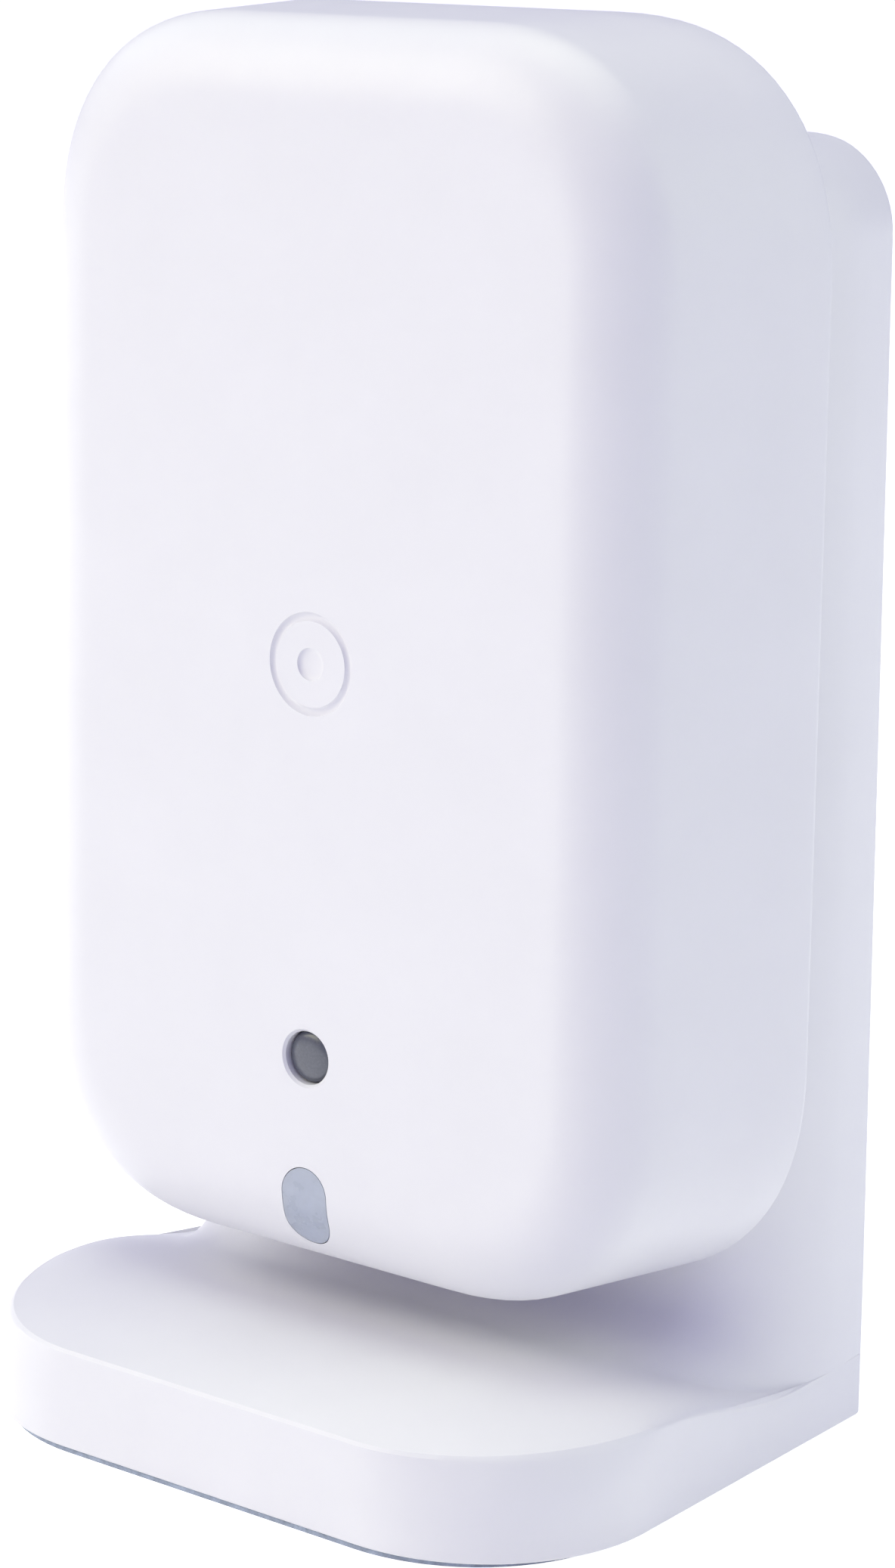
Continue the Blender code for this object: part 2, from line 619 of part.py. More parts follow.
def build_stand_inside():
    wall_y = PLATE_FRONT_Y + STAND_WALL
    for number, side in ((1, -1), (2, 1)):
        disc = bmesh.new()
        add_turned_y(disc, (side * MAGNET_X, MAGNET_Z), ((wall_y + 0.2, MAGNET_R), (wall_y + 2.1, MAGNET_R)))
        stand_piece("magnet_%d" % number, disc, material("magnet_nickel", (0.7, 0.69, 0.66), 0.25, 1.0))

    panel = bmesh.new()
    half_h = (CAVITY_Z[1] - CAVITY_Z[0]) / 2
    outer = STAND_BACK_Y - 0.15
    inner = outer - 1.5
    add_slab_y(panel, cavity_centre(), CAVITY_HALF_W - GAP, half_h - GAP, CAVITY_CORNER - GAP, inner, outer)
    back = stand_piece("stand_back_cover", panel, material("back_white", (0.82, 0.82, 0.84), 0.55))
    pads = bmesh.new()
    for side in (-1, 1):
        for z in BACK_SCREW_Z:
            add_turned_y(pads, (side * BACK_SCREW_X, z), ((STAND_BACK_Y - 3.0, 2.7), (outer - 0.6, 2.7)))
    combine(back, 'UNION', pads, "pads")
    holes = bmesh.new()
    half_window = (WINDOW_Z[1] - WINDOW_Z[0]) / 2
    add_slab_y(holes, window_centre(), WINDOW_HALF_W + WINDOW_WALL + GAP, half_window + WINDOW_WALL + GAP,
               3.5, inner - 3, outer + 1)
    for side in (-1, 1):
        for z in BACK_SCREW_Z:
            add_turned_y(holes, (side * BACK_SCREW_X, z),
                         ((inner - 3, 1.15), (outer - 1.4, 1.15), (outer - 1.399, 2.1), (outer + 1, 2.1)),
                         SMALL_ROUND)
    combine(back, 'DIFFERENCE', holes, "holes")

    y0 = BASE_CAVITY_Y[0] + GAP
    y1 = BASE_CAVITY_Y[1] - GAP
    corner = STAND_PLAN_R - STAND_WALL - GAP
    lid = bmesh.new()
    plan_slab(lid, CAVITY_HALF_W - GAP, y0, y1, corner, 0.65, 1.95)
    base_cover = stand_piece("base_cover", lid, material("base_cover_grey", (0.30, 0.31, 0.33), 0.6))
    holes = bmesh.new()
    for side in (-1, 1):
        for x, y in BASE_SCREWS:
            add_turned_z(holes, (side * x, y),
                         ((0, 1.95), (1.45, 1.95), (1.451, 1.05), (3, 1.05)), SMALL_ROUND)
    combine(base_cover, 'DIFFERENCE', holes, "screw_holes")

    weight = bmesh.new()
    plan_slab(weight, CAVITY_HALF_W - 0.8, y0 + 0.5, y1 - 0.5, corner - 0.5, 2.2, 4.3)
    ballast = stand_piece("ballast_plate", weight, material("ballast_steel", (0.42, 0.42, 0.43), 0.45, 1.0))
    holes = bmesh.new()
    for side in (-1, 1):
        for x, y in BASE_SCREWS:
            add_turned_z(holes, (side * x, y), ((1, 2.75), (6, 2.75)))
    combine(ballast, 'DIFFERENCE', holes, "boss_holes")

    foot = bmesh.new()
    plan_slab(foot, STAND_HALF_W - 1.0, STAND_FRONT_Y + 0.25, STAND_BACK_Y - 1.0, STAND_PLAN_R - 0.6, 0, 0.3)
    stand_piece("base_pad", foot, material("pad_slate", (0.05, 0.08, 0.12), 0.8))


# ---- screws ----
def add_socket_screw(bm, centre, seat, tip, head_top, head_r, shank_r, axis_turned):
    """Pan head above the seat with a recess, shank from the seat to the tip."""
    reach = head_top - seat
    sign = 1 if reach > 0 else -1
    step = 0.001 * sign
    stations = ((tip, shank_r * 0.7), (tip + 0.4 * sign, shank_r), (seat, shank_r), (seat + step, head_r),
                (seat + reach * 0.55, head_r), (head_top, head_r * 0.72),
                (head_top - step, head_r * 0.42), (head_top - reach * 0.45, head_r * 0.42))
    axis_turned(bm, centre, stations, SMALL_ROUND)


def build_screws():
    zinc = (0.60, 0.61, 0.63)
    number = 0
    for z in COVER_SCREW_Z:
        for side in (-1, 1):
            number += 1
            bm = bmesh.new()
            add_socket_screw(bm, (side * COVER_SCREW_X, z), head_y(-1.55), head_y(-8.6), head_y(-0.45),
                             1.8, 0.85, add_turned_y)
            head_piece("cover_screw_%d" % number, bm, material("cover_screw_zinc", zinc, 0.35, 1.0))
    number = 0
    board_back = BOARD_FRONT + BOARD_T
    for z in BOARD_SCREW_Z:
        for side in (-1, 1):
            number += 1
            bm = bmesh.new()
            add_socket_screw(bm, (side * BOARD_SCREW_X, z), head_y(board_back + 0.1), head_y(-11.4),
                             head_y(board_back + 1.1), 1.7, 0.8, add_turned_y)
            head_piece("board_screw_%d" % number, bm, material("board_screw_zinc", zinc, 0.35, 1.0))
    number = 0
    outer = STAND_BACK_Y - 0.15
    for z in BACK_SCREW_Z:
        for side in (-1, 1):
            number += 1
            bm = bmesh.new()
            add_socket_screw(bm, (side * BACK_SCREW_X, z), outer - 1.35, outer - 7.4, outer - 0.3,
                             1.8, 0.85, add_turned_y)
            stand_piece("back_screw_%d" % number, bm, material("back_screw_zinc", zinc, 0.35, 1.0))
    number = 0
    for x, y in BASE_SCREWS:
        for side in (-1, 1):
            number += 1
            bm = bmesh.new()
            add_socket_screw(bm, (side * x, y), 1.4, 4.6, 0.7, 1.7, 0.8, add_turned_z)
            stand_piece("base_screw_%d" % number, bm, material("base_screw_zinc", zinc, 0.35, 1.0))


build_front_shell()
build_optics()
build_board()
build_rear_cover()
build_stand_shell()
build_stand_inside()
build_screws()
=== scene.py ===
import math

import bmesh
import bpy
from mathutils import Matrix, Vector


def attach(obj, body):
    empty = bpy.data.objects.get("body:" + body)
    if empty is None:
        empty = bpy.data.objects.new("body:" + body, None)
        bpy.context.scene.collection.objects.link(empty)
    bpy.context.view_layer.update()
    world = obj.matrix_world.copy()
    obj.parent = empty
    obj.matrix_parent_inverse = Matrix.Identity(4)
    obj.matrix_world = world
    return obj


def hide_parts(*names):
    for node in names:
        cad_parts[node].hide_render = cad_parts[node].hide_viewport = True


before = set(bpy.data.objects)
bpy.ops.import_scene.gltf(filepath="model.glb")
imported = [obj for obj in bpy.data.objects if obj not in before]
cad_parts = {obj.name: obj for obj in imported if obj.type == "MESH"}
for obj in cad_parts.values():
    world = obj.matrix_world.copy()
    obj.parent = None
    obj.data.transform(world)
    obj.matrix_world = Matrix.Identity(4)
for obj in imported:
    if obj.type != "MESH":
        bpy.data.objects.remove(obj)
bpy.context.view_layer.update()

MM = 0.001

# ---- the object's dimensions in millimetres, the same as in the CAD where both have them ----
# head: a hollow shell that narrows towards its front face
HEAD_BACK_Y = 5.545
HEAD_CENTRE_Z = 47.2
HEAD_W = 50.0
HEAD_H = 72.96
HEAD_D = 14.36
HEAD_FRONT_Y = HEAD_BACK_Y - HEAD_D
HEAD_FLARE_X = 4.14
HEAD_FLARE_Z = 0.54
HEAD_CORNER_BACK = 14.63
HEAD_CORNER_FRONT = 12.74
HEAD_CORNER_POWER = 2.37
HEAD_FILLET_X = 3.79
HEAD_FILLET_Z = 4.95
HEAD_WALL = 1.6
HEAD_FRONT_WALL = 1.8
HEAD_REAR_R = 0.4
HEAD_CAP_INSET = 0.5
HEAD_INNER_R = 2.2
HEAD_INNER_START = 2.5

# plain engraved ring and dot on the face
EMBLEM_Z = 46.9
EMBLEM_R = 3.0
EMBLEM_GROOVE_R = 0.26
DOT_MOUTH_R = 1.06
DOT_FLOOR_R = 0.16
DOT_FLARE = 0.8
DOT_DEPTH = 0.24

# dome window and light guide, with depths measured from the face
SENSOR_Z = 23.9
SENSOR_HOLE_R = 1.58
SENSOR_HOLE_EDGE = 0.16
SENSOR_HOLE_EASE = 0.98
SENSOR_HOLE_FLARE = 0.9
SENSOR_HOLE_DEPTH = 3.2
DOME_R = 1.5
DOME_FLANGE_R = 2.4
DOME_FLANGE_DEPTHS = (3.0, 2.2)
DOME_WALL_DEPTHS = (2.1, 0.62)
DOME_CAP_R = 1.47
DOME_CAP_DEPTH = 0.58
DOME_CAP_RISE = 0.34
DOME_CAP_POWER = 0.8
GUIDE_Z = 15.75
GUIDE_HOLE_R = 1.66
GUIDE_DROP = 0.75
GUIDE_GAP = 0.05
GUIDE_HOLE_DEPTH = 2.9
GUIDE_PLUG = 2.6
GUIDE_NECK_R = 1.3
GUIDE_END_Y = HEAD_BACK_Y - 9.0

# stand: a stack of horizontal sections, from the base's bottom to the plate's top
STAND_HALF_W = 22.36
STAND_TOP_Z = 76.75
PLATE_FRONT_Y = HEAD_BACK_Y + 0.3
STAND_BACK_Y = 17.375
STAND_FRONT_Y = -17.375
STAND_BOTTOM_Z = 0.35
BASE_EDGE_Z = 6.3
BASE_TOP_Z = 7.45
BOTTOM_EDGE_R = 0.25
INNER_CURVE_R = 5.0
STAND_PLAN_R = 11.3
PLATE_CORNER_R = 5.6
PLATE_EDGE_X = 6.0
PLATE_EDGE_Y = 7.5
PLATE_TAPER = 0.4
REAR_TAPER = 0.3
TOP_FRONT_R = 3.0
SOFT_START_Z = 3.4
SOFT_X = 0.6
SOFT_Y = 3.0
CURVE_Y = PLATE_FRONT_Y - INNER_CURVE_R
SIDE_START_Y = STAND_FRONT_Y + STAND_PLAN_R + SOFT_Y
SIDE_END_Y = PLATE_FRONT_Y + PLATE_EDGE_Y
CROWN_START = 0.2
SIDE_POWER = 0.8

# how far, and over which stretch, the base's side edges sink
SAG = 3.2
SAG_START_X = 8.0
SAG_START_Y = -6.0
SAG_END_Y = 10.0
SAG_LOW_Z = 1.0
SAG_HIGH_Z = 25.0

# the stand's hollows, its window for the power plug, and its two pips
STAND_WALL = 1.8
REAR_EDGE_R = 0.6
CAVITY_LOW_Z = 8.8
CAVITY_R = 3.4
BASE_ROOF = 1.6
WINDOW_HALF_W = 8.0
WINDOW_Z = (18.0, 38.0)
WINDOW_CORNER = 2.0
WINDOW_RIM = 1.2
WINDOW_RIM_BITE = 0.8
WINDOW_RIM_BACK = 0.15
PIP_X = 14.0
PIP_Z = 44.0
# distance in front of the plate (minus) or into it, and radius
PIP_PROFILE = ((-0.9, 1.7), (-0.84, 1.92), (-0.7, 2.1), (-0.55, 2.18), (0.8, 2.2))

# foot pad: height above the table and inset of each ring, then how far it stays inside the stand
PAD_LEVELS = ((0.0, 0.1), (0.03, 0.03), (0.08, 0.0), (0.26, 0.0), (0.3, 0.04))
# the small front and corner margins let the pad show under the base's front edge, where its dark colour is
# painted contact shadow
PAD_MARGIN = 1.0
PAD_FRONT_MARGIN = 0.25
PAD_CORNER_MARGIN = 0.6

# how far the cutting shapes run past a surface, the offsets that keep faces from lying in one plane,
# and the angle above which an edge is sharp
PAST = 5.0
FACE_PAST = 1.0
WINDOW_PAST = 3.0
HAIR = 0.02
SLIVER = 0.0005
SMOOTH_DEG = 28

# ---- camera, from the outlines of the head and the stand ----
CAM_AZ = 37.39
CAM_EL = 8.585
CAM_ROLL = 1.025
CAM_DIST = 239.46
CAM_TARGET = (-1.35, 5.545, 55.72)
CAM_LENS = 93.03153
CAM_SHIFT = (-0.00102700, -0.19385246)


# ================= materials =================
def new_material(name, colour, rough, metallic=0.0):
    mat = bpy.data.materials.new(name)
    mat.use_nodes = True
    shader = mat.node_tree.nodes["Principled BSDF"]
    shader.inputs["Base Color"].default_value = (*colour, 1.0)
    shader.inputs["Roughness"].default_value = rough
    shader.inputs["Metallic"].default_value = metallic
    return mat, mat.node_tree, shader


def coordinates(tree, scale=(1, 1, 1)):
    """Object space in millimetres."""
    coord = tree.nodes.new("ShaderNodeTexCoord")
    mapping = tree.nodes.new("ShaderNodeMapping")
    mapping.inputs["Scale"].default_value = [s / MM for s in scale]
    tree.links.new(coord.outputs["Object"], mapping.inputs["Vector"])
    return mapping.outputs["Vector"]


def noise(tree, vector, scale, detail=3.0, rough=0.55):
    node = tree.nodes.new("ShaderNodeTexNoise")
    node.inputs["Scale"].default_value = scale
    node.inputs["Detail"].default_value = detail
    node.inputs["Roughness"].default_value = rough
    tree.links.new(vector, node.inputs["Vector"])
    return node.outputs["Fac"]


def ramp(tree, value, stops):
    node = tree.nodes.new("ShaderNodeValToRGB")
    while len(node.color_ramp.elements) < len(stops):
        node.color_ramp.elements.new(0.5)
    for element, (place, colour) in zip(node.color_ramp.elements, stops):
        element.position = place
        element.color = (*colour, 1.0)
    tree.links.new(value, node.inputs["Fac"])
    return node.outputs["Color"]


def remap(tree, value, low, high):
    node = tree.nodes.new("ShaderNodeMapRange")
    node.inputs["To Min"].default_value = low
    node.inputs["To Max"].default_value = high
    tree.links.new(value, node.inputs["Value"])
    return node.outputs["Result"]


def bump(tree, shader, height, strength, distance_mm):
    node = tree.nodes.new("ShaderNodeBump")
    node.inputs["Strength"].default_value = strength
    node.inputs["Distance"].default_value = distance_mm * MM
    tree.links.new(height, node.inputs["Height"])
    tree.links.new(node.outputs["Normal"], shader.inputs["Normal"])


def tint(colour, factor):
    return tuple(min(1.0, c * factor) for c in colour)


def moulded_plastic(name, colour, rough, grain_mm=0.16, grain=0.12):
    """Spark-eroded mould skin: very fine grain, faint cloudiness, satin sheen."""
    mat, tree, shader = new_material(name, colour, rough)
    vec = coordinates(tree)
    cloud = noise(tree, vec, 0.11, 4.0)
    mottle = 0.012
    shade = ramp(tree, cloud, [(0.3, tint(colour, 1 - mottle)), (0.7, tint(colour, 1 + mottle))])
    tree.links.new(shade, shader.inputs["Base Color"])
    patch = noise(tree, vec, 0.6, 3.0)
    tree.links.new(remap(tree, patch, rough - 0.06, rough + 0.06), shader.inputs["Roughness"])
    fine = noise(tree, vec, 1.0 / grain_mm, 2.0, 0.6)
    bump(tree, shader, fine, grain, 0.02)
    shader.inputs["Specular IOR Level"].default_value = 0.45
    return mat


def metal(name, colour, rough, brush=(1, 1, 1)):
    """Plated or rolled metal with fine directional wear."""
    mat, tree, shader = new_material(name, colour, rough, 1.0)
    vec = coordinates(tree, brush)
    lines = noise(tree, vec, 3.0, 5.0, 0.7)
    tree.links.new(ramp(tree, lines, [(0.3, tint(colour, 0.86)), (0.7, tint(colour, 1.06))]),
                   shader.inputs["Base Color"])
    tree.links.new(remap(tree, lines, rough - 0.1, rough + 0.15), shader.inputs["Roughness"])
    bump(tree, shader, lines, 0.35, 0.01)
    return mat


def soft_rubber(name, colour):
    """Matt rubber with a little dust in its grain."""
    rough = 0.8
    mat, tree, shader = new_material(name, colour, rough)
    vec = coordinates(tree)
    dust = noise(tree, vec, 1.2, 5.0, 0.7)
    tree.links.new(ramp(tree, dust, [(0.35, tint(colour, 0.8)), (0.75, tint(colour, 1.5))]),
                   shader.inputs["Base Color"])
    tree.links.new(remap(tree, dust, rough - 0.1, rough + 0.12), shader.inputs["Roughness"])
    bump(tree, shader, noise(tree, vec, 8.0, 3.0), 0.3, 0.03)
    return mat


def circuit_board(name, colour):
    """Solder mask, lighter round small gilded pads."""
    gilt = (0.75, 0.62, 0.32)
    mat, tree, shader = new_material(name, colour, 0.35)
    vec = coordinates(tree)
    cells = tree.nodes.new("ShaderNodeTexVoronoi")
    cells.distance = 'CHEBYCHEV'
    cells.feature = 'F1'
    cells.inputs["Scale"].default_value = 0.45
    tree.links.new(vec, cells.inputs["Vector"])
    tree.links.new(ramp(tree, cells.outputs["Distance"],
                        [(0.0, gilt), (0.09, gilt), (0.12, tint(colour, 1.5)), (0.3, tint(colour, 1.5)),
                         (0.33, colour)]), shader.inputs["Base Color"])
    bump(tree, shader, cells.outputs["Distance"], 0.3, 0.03)
    return mat


def smoked_window(name):
    """Dark diffusing window, finely speckled, under a thin gloss coat."""
    dark = (0.085, 0.092, 0.125)
    mat, tree, shader = new_material(name, dark, 0.3)
    vec = coordinates(tree)
    speck = noise(tree, vec, 7.0, 4.0, 0.7)
    tree.links.new(ramp(tree, speck, [(0.3, tint(dark, 0.75)), (0.6, dark), (0.8, tint(dark, 1.9))]),
                   shader.inputs["Base Color"])
    tree.links.new(remap(tree, speck, 0.22, 0.42), shader.inputs["Roughness"])
    bump(tree, shader, speck, 0.25, 0.03)
    shader.inputs["Coat Weight"].default_value = 0.4
    shader.inputs["Coat Roughness"].default_value = 0.25
    return mat


def frosted_guide(name):
    """Clear plastic full of diffuser: milky, slightly glossy, a little light passing through."""
    milk = (0.44, 0.48, 0.58)
    mat, tree, shader = new_material(name, milk, 0.3)
    vec = coordinates(tree)
    cloud = noise(tree, vec, 0.9, 3.0)
    tree.links.new(ramp(tree, cloud, [(0.3, tint(milk, 0.95)), (0.7, tint(milk, 1.06))]),
                   shader.inputs["Base Color"])
    tree.links.new(remap(tree, cloud, 0.22, 0.36), shader.inputs["Roughness"])
    bump(tree, shader, noise(tree, vec, 5.0, 2.0), 0.1, 0.02)
    shader.inputs["Subsurface Weight"].default_value = 0.25
    shader.inputs["Subsurface Radius"].default_value = (0.0012, 0.0013, 0.0016)
    shader.inputs["Subsurface Scale"].default_value = 1.0
    return mat


# ================= shape helpers, in millimetres until write() =================
def quarter(steps):
    """Angles from 0 to a quarter turn."""
    return [math.pi / 2 * i / steps for i in range(steps + 1)]


def superellipse(half_w, half_h, corner, power, steps):
    """Rectangle with rounded corners; a power of 2 makes them circular."""
    arc = []
    for t in quarter(steps - 1):
        c = max(math.cos(t), 0.0) ** (2 / power)
        s = max(math.sin(t), 0.0) ** (2 / power)
        arc.append((half_w - corner + corner * c, half_h - corner + corner * s))
    points = list(arc)
    points += [(-u, v) for u, v in reversed(arc)]
    points += [(-u, -v) for u, v in arc]
    points += [(u, -v) for u, v in reversed(arc)]
    return points


def circle(radius, sides):
    return [(radius * math.cos(2 * math.pi * i / sides), radius * math.sin(2 * math.pi * i / sides))
            for i in range(sides)]


def along_y(outline, y, centre):
    return [Vector((centre[0] + u, y, centre[1] + v)) for u, v in outline]


def along_z(outline, z):
    return [Vector((u, v, z)) for u, v in outline]


def band(bm, low, high):
    """Quads between two rings of vertices."""
    pairs = list(zip(low, high))
    return [bm.faces.new((low_a, low_b, high_b, high_a))
            for (low_a, high_a), (low_b, high_b) in zip(pairs, pairs[1:] + pairs[:1])]


def add_loft(bm, rings):
    """Closed solid through a stack of rings, with flat ends."""
    loops = [[bm.verts.new(p) for p in ring] for ring in rings]
    faces = [bm.faces.new(list(reversed(loops[0]))), bm.faces.new(loops[-1])]
    for low, high in zip(loops, loops[1:]):
        faces += band(bm, low, high)
    bmesh.ops.recalc_face_normals(bm, faces=faces)


def add_turned_y(bm, centre, stations, sides=64):
    """Solid of revolution about an axis along y, from pairs of y and radius."""
    add_loft(bm, [along_y(circle(r, sides), y, centre) for y, r in stations])


def add_torus_y(bm, centre, y, major, minor, sides=96, around=16):
    loops = []
    for k in range(around):
        a = 2 * math.pi * k / around
        ring = along_y(circle(major + minor * math.cos(a), sides), y + minor * math.sin(a), centre)
        loops.append([bm.verts.new(p) for p in ring])
    faces = []
    for low, high in zip(loops, loops[1:] + loops[:1]):
        faces += band(bm, low, high)
    bmesh.ops.recalc_face_normals(bm, faces=faces)


def add_slab_y(bm, centre, half_w, half_h, corner, y0, y1, steps=10):
    outline = superellipse(half_w, half_h, corner, 2.0, steps)
    add_loft(bm, [along_y(outline, y0, centre), along_y(outline, y1, centre)])


def plan_outline(half_w, y_front, y_back, corner_x, corner_y, steps=20, rear_r=0.0, rear_taper=0.0):
    """Horizontal section with rounded front corners and, where rear_r is given, rounded rear ones."""
    rear_w = half_w - rear_taper
    side = [(rear_w, y_back)]
    if rear_r > 0:
        side = [(rear_w - rear_r * (1 - math.sin(t)), y_back - rear_r * (1 - math.cos(t)))
                for t in quarter(4)]
    for t in quarter(steps - 1):
        side.append((half_w - corner_x * (1 - math.cos(t)), y_front + corner_y * (1 - math.sin(t))))
    return [(-x, y) for x, y in side] + [(x, y) for x, y in reversed(side)]


def smooth_shade(mesh):
    mesh.shade_smooth()
    mesh.set_sharp_from_angle(angle=math.radians(SMOOTH_DEG))


def write(name, bm, look=None):
    """Turn the millimetre mesh into an object in metres."""
    bmesh.ops.scale(bm, verts=bm.verts, vec=(MM, MM, MM))
    mesh = bpy.data.meshes.new(name)
    bm.to_mesh(mesh)
    bm.free()
    smooth_shade(mesh)
    obj = bpy.data.objects.new(name, mesh)
    bpy.context.collection.objects.link(obj)
    if look is not None:
        mesh.materials.append(look)
    return obj


def apply_cut(obj, shapes, operation='DIFFERENCE'):
    """Boolean with the shapes, written into the mesh; the tool object is removed again."""
    tool = write("tool", shapes)
    mod = obj.modifiers.new("cut", 'BOOLEAN')
    mod.operation = operation
    mod.solver = 'EXACT'
    mod.object = tool
    graph = bpy.context.evaluated_depsgraph_get()
    mesh = bpy.data.meshes.new_from_object(obj.evaluated_get(graph), depsgraph=graph)
    obj.modifiers.clear()
    old = obj.data
    obj.data = mesh
    bpy.data.meshes.remove(old)
    bpy.data.objects.remove(tool, do_unlink=True)
    smooth_shade(mesh)


# ================= head =================
WHITE = (0.86, 0.855, 0.89)
shell_look = moulded_plastic("head_shell_plastic", WHITE, 0.42)
stand_look = moulded_plastic("stand_plastic", WHITE, 0.46)


def head_outline(depth, inset_x, inset_z, steps=22):
    forward = depth / HEAD_D
    corner = HEAD_CORNER_BACK + (HEAD_CORNER_FRONT - HEAD_CORNER_BACK) * forward
    return superellipse(HEAD_W / 2 - HEAD_FLARE_X * forward - inset_x,
                        HEAD_H / 2 - HEAD_FLARE_Z * forward - inset_z,
                        corner - (inset_x + inset_z) / 2, HEAD_CORNER_POWER, steps)


def head_ring(depth, inset_x, inset_z):
    """Section of the head at a depth in front of its back."""
    return along_y(head_outline(depth, inset_x, inset_z), HEAD_BACK_Y - depth, (0, HEAD_CENTRE_Z))


def head_outer_rings(fillet_steps=18, side_steps=4):
    """The outside, from the front face round its large edge and along the sides to the back."""
    rings = [head_ring(HEAD_D, HEAD_FILLET_X + HEAD_CAP_INSET, HEAD_FILLET_Z + HEAD_CAP_INSET)]
    for t in quarter(fillet_steps):
        turned = 1 - math.sin(t)
        rings.append(head_ring(HEAD_D - HEAD_FILLET_X * (1 - math.cos(t)), HEAD_FILLET_X * turned,
                               HEAD_FILLET_Z * turned))
    side_depth = HEAD_D - HEAD_FILLET_X
    for i in range(1, side_steps + 1):
        rings.append(head_ring(side_depth - i * (side_depth - HEAD_REAR_R) / side_steps, 0, 0))
    for t in quarter(4)[1:]:
        inset = HEAD_REAR_R * (1 - math.cos(t))
        rings.append(head_ring(HEAD_REAR_R - HEAD_REAR_R * math.sin(t), inset, inset))
    return rings


def head_inner_rings():
    """The hollow, from the open back to the inside of the front wall."""
    rings = [head_ring(depth, HEAD_WALL, HEAD_WALL) for depth in (0, HEAD_INNER_START)]
    for t in reversed(quarter(4)):
        inset = HEAD_WALL + HEAD_INNER_R * (1 - math.sin(t))
        rings.append(head_ring(HEAD_D - HEAD_FRONT_WALL - HEAD_INNER_R * (1 - math.cos(t)), inset, inset))
    return rings


def add_sensor_hole(bm):
    """Round hole for the dome, with a small bevel at its mouth."""
    wide = SENSOR_HOLE_R + SENSOR_HOLE_EDGE
    stations = [(HEAD_FRONT_Y - FACE_PAST, wide + SENSOR_HOLE_FLARE), (HEAD_FRONT_Y - HAIR, wide)]
    for t in quarter(4)[1:]:
        stations.append((HEAD_FRONT_Y + SENSOR_HOLE_EDGE * math.sin(t) - SLIVER,
                         SENSOR_HOLE_R + SENSOR_HOLE_EDGE * (1 - math.sin(t)) * SENSOR_HOLE_EASE))
    stations.append((HEAD_FRONT_Y + SENSOR_HOLE_DEPTH, SENSOR_HOLE_R))
    add_turned_y(bm, (0, SENSOR_Z), stations)


def add_emblem_dot(bm):
    """Shallow bowl in the middle of the ring."""
    stations = [(HEAD_FRONT_Y - FACE_PAST, DOT_MOUTH_R)]
    for t in quarter(6)[:-1]:
        stations.append((HEAD_FRONT_Y + DOT_DEPTH * math.sin(t),
                         DOT_FLOOR_R + DOT_FLARE * math.sqrt(math.cos(t))))
    add_turned_y(bm, (0, EMBLEM_Z), stations, 48)


def build_front_shell():
    bm = bmesh.new()
    add_loft(bm, head_outer_rings() + head_inner_rings())
    shell = write("head_front_shell", bm, shell_look)
    cuts = bmesh.new()
    add_sensor_hole(cuts)
    add_slab_y(cuts, (0, GUIDE_Z - GUIDE_DROP), GUIDE_HOLE_R, GUIDE_HOLE_R + GUIDE_DROP, GUIDE_HOLE_R,
               HEAD_FRONT_Y - FACE_PAST, HEAD_FRONT_Y + GUIDE_HOLE_DEPTH, 20)
    add_torus_y(cuts, (0, EMBLEM_Z), HEAD_FRONT_Y - HAIR, EMBLEM_R - EMBLEM_GROOVE_R, EMBLEM_GROOVE_R)
    add_emblem_dot(cuts)
    apply_cut(shell, cuts)
    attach(shell, "head")
    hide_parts("front_shell")


def build_window():
    stations = [(HEAD_FRONT_Y + depth, DOME_FLANGE_R) for depth in DOME_FLANGE_DEPTHS]
    stations += [(HEAD_FRONT_Y + depth, DOME_R) for depth in DOME_WALL_DEPTHS]
    for t in quarter(11)[1:-1]:
        stations.append((HEAD_FRONT_Y + DOME_CAP_DEPTH - DOME_CAP_RISE * math.sin(t),
                         DOME_CAP_R * math.cos(t) ** DOME_CAP_POWER))
    bm = bmesh.new()
    add_turned_y(bm, (0, SENSOR_Z), stations)
    window = write("sensor_dome_window", bm, smoked_window("smoked_window"))
    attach(window, "head")
    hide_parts("sensor_window")


def build_guide():
    """Obround plug, cut off flush with the head's face, on a round neck."""
    radius = GUIDE_HOLE_R - GUIDE_GAP
    face = superellipse(radius, radius + GUIDE_DROP, radius, 2.0, 20)
    neck = superellipse(GUIDE_NECK_R, GUIDE_NECK_R, GUIDE_NECK_R, 2.0, 20)
    face_centre = (0, GUIDE_Z - GUIDE_DROP)
    neck_centre = (0, GUIDE_Z)
    plug_end = HEAD_FRONT_Y + GUIDE_PLUG
    rod = bmesh.new()
    add_loft(rod, [along_y(face, HEAD_FRONT_Y - 2 * FACE_PAST, face_centre),
                   along_y(face, plug_end, face_centre),
                   along_y(neck, plug_end + 2 * SLIVER, neck_centre),
                   along_y(neck, GUIDE_END_Y, neck_centre)])
    guide = write("status_guide", rod, frosted_guide("frosted_guide"))
    outside = bmesh.new()
    add_loft(outside, head_outer_rings())
    apply_cut(guide, outside, 'INTERSECT')
    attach(guide, "head")
    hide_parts("status_light_guide")


# ================= stand =================
# Each section is its height, half width, front y, back y, and the front corner's size in x and in y.
def base_sections(steps=16):
    """The base's wall: a small bottom edge, then front corners that grow softer towards the top."""
    sections = []
    for t in quarter(4):
        inset = BOTTOM_EDGE_R * (1 - math.sin(t))
        sections.append((STAND_BOTTOM_Z + BOTTOM_EDGE_R * (1 - math.cos(t)), STAND_HALF_W - inset,
                         STAND_FRONT_Y + inset, STAND_BACK_Y, STAND_PLAN_R, STAND_PLAN_R))
    for i in range(steps):
        soft = (i / steps) ** 2
        z = SOFT_START_Z + (BASE_EDGE_Z - SOFT_START_Z) * i / steps
        sections.append((z, STAND_HALF_W, STAND_FRONT_Y, STAND_BACK_Y, STAND_PLAN_R + SOFT_X * soft,
                         STAND_PLAN_R + SOFT_Y * soft))
    return sections


